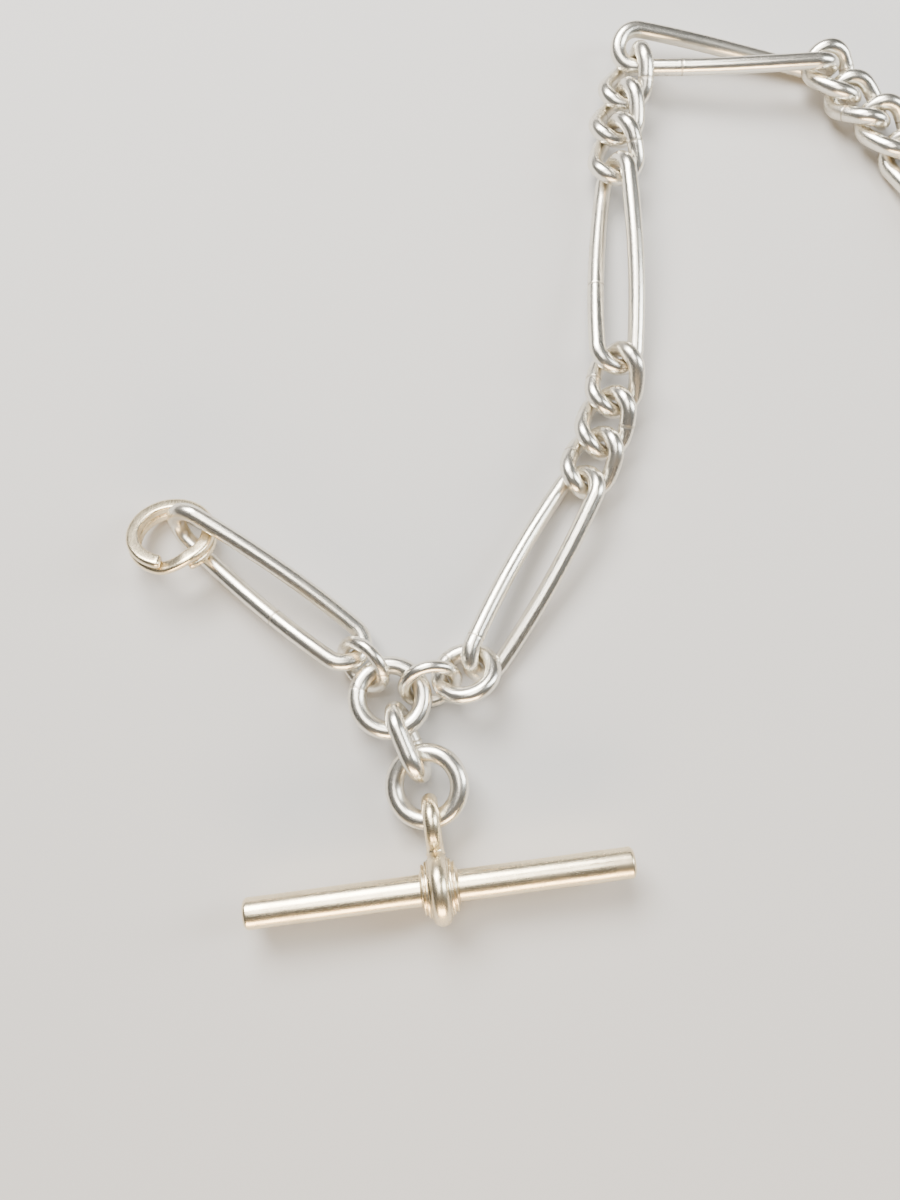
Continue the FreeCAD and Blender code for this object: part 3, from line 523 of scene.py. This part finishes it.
gate = bmesh.new()
gate_line = [(9.55 + 0.256 * k, HINGE.y, 0) for k in range(25)]
gate_thick = [1.0 + 0.16 * math.sin(math.pi * min(1, k / 18)) for k in range(25)]
sweep_wire(gate, gate_line, gate_thick, 28)
knuckle = rounded_outline([(-0.58, 0.42), (-0.58, 0.58), (0.07, 0.58), (0.07, 0.42)], 0.05, 3)
spun = [vertex for ring in turn_on_lathe(gate, knuckle + knuckle[:1], 48) for vertex in ring]
upright = Matrix.Translation(HINGE) @ Matrix.Rotation(-math.pi / 2, 4, "Y")
bmesh.ops.transform(gate, verts=spun, matrix=upright)
made_piece("swivel_gate", gate, SWIVEL_AT, "gate_lever", ["gate_lever"], silver, melt=0.05)

steel = polished_metal("spring_steel", (0.46, 0.46, 0.48, 1), (0.20, 0.18, 0.16, 1), 0.28, 0.2)
spring = bmesh.new()
coil_out, spring_wire = 0.43, 0.14
spring_line = [HINGE + Vector((coil_out * math.sin(math.radians(a)), -coil_out * math.cos(math.radians(a)),
                               0.26 + 0.27 * a / 720)) for a in range(0, 721, 12)]
spring_line = [HINGE + Vector((-1.9 + 0.1 * k, -coil_out, 0.26)) for k in range(19)] + spring_line
sweep_wire(spring, spring_line, [spring_wire] * len(spring_line), 14)
made_piece("swivel_gate_spring", spring, SWIVEL_AT, "swivel_hook", ["gate_spring"], steel)

# ------------------------------------------------------------------------------ floor and light
# A plain pale floor under the chain, a broad soft light above and behind, a weak one overhead,
# a smaller one from the right, and a low warm one from the front.
floor_mesh = bpy.data.meshes.new("floor")
shape = bmesh.new()
bmesh.ops.create_grid(shape, x_segments=1, y_segments=1, size=1.2)
shape.to_mesh(floor_mesh)
floor = bpy.data.objects.new("floor", floor_mesh)
bpy.context.collection.objects.link(floor)
paper = bpy.data.materials.new("paper")
paper.use_nodes = True
paper.node_tree.nodes["Principled BSDF"].inputs["Base Color"].default_value = (0.50, 0.49, 0.475, 1)
paper.node_tree.nodes["Principled BSDF"].inputs["Roughness"].default_value = 0.9
floor_mesh.materials.append(paper)
floor.location.z = -0.0001


def soft_light(label, wide, deep, power, colour, spot, aim):
    """A soft rectangular light at a spot, turned towards a point."""
    lamp = bpy.data.lights.new(label, "AREA")
    lamp.shape, lamp.size, lamp.size_y = "RECTANGLE", wide, deep
    lamp.energy, lamp.color = power, colour
    held = bpy.data.objects.new(label, lamp)
    held.location = spot
    held.rotation_euler = (Vector(aim) - Vector(spot)).to_track_quat("-Z", "Y").to_euler()
    bpy.context.collection.objects.link(held)


soft_light("window", 0.20, 0.14, 2.5, (1.0, 0.98, 0.95), (-0.12, 0.16, 0.22), (0, 0, 0))
soft_light("overhead", 0.15, 0.12, 0.55, (1.0, 0.97, 0.92), (-0.06, 0.02, 0.30), (-0.03, -0.01, 0))
soft_light("side", 0.10, 0.20, 0.9, (0.92, 0.97, 1.0), (0.22, 0.04, 0.16), (0, 0, 0))
soft_light("warm_front", 0.20, 0.07, 0.8, (1.0, 0.74, 0.45), (-0.02, -0.22, 0.06), (-0.03, -0.02, 0))
world = bpy.data.worlds.new("studio")
world.use_nodes = True
world.node_tree.nodes["Background"].inputs["Color"].default_value = (0.55, 0.56, 0.58, 1)
world.node_tree.nodes["Background"].inputs["Strength"].default_value = 0.22
bpy.context.scene.world = world

lens = bpy.data.cameras.new("camera")
lens.sensor_width = 36
lens.lens = 31.1
lens.clip_start = 0.01
camera = bpy.data.objects.new("camera", lens)
aim = Vector((0, 0, 2)) * MM - MIDDLE
back = Vector((0, -math.sin(math.radians(10)), math.cos(math.radians(10))))
camera.location = aim + back * 0.093
camera.rotation_euler = (-back).to_track_quat("-Z", "Y").to_euler()
bpy.context.collection.objects.link(camera)
bpy.context.scene.camera = camera
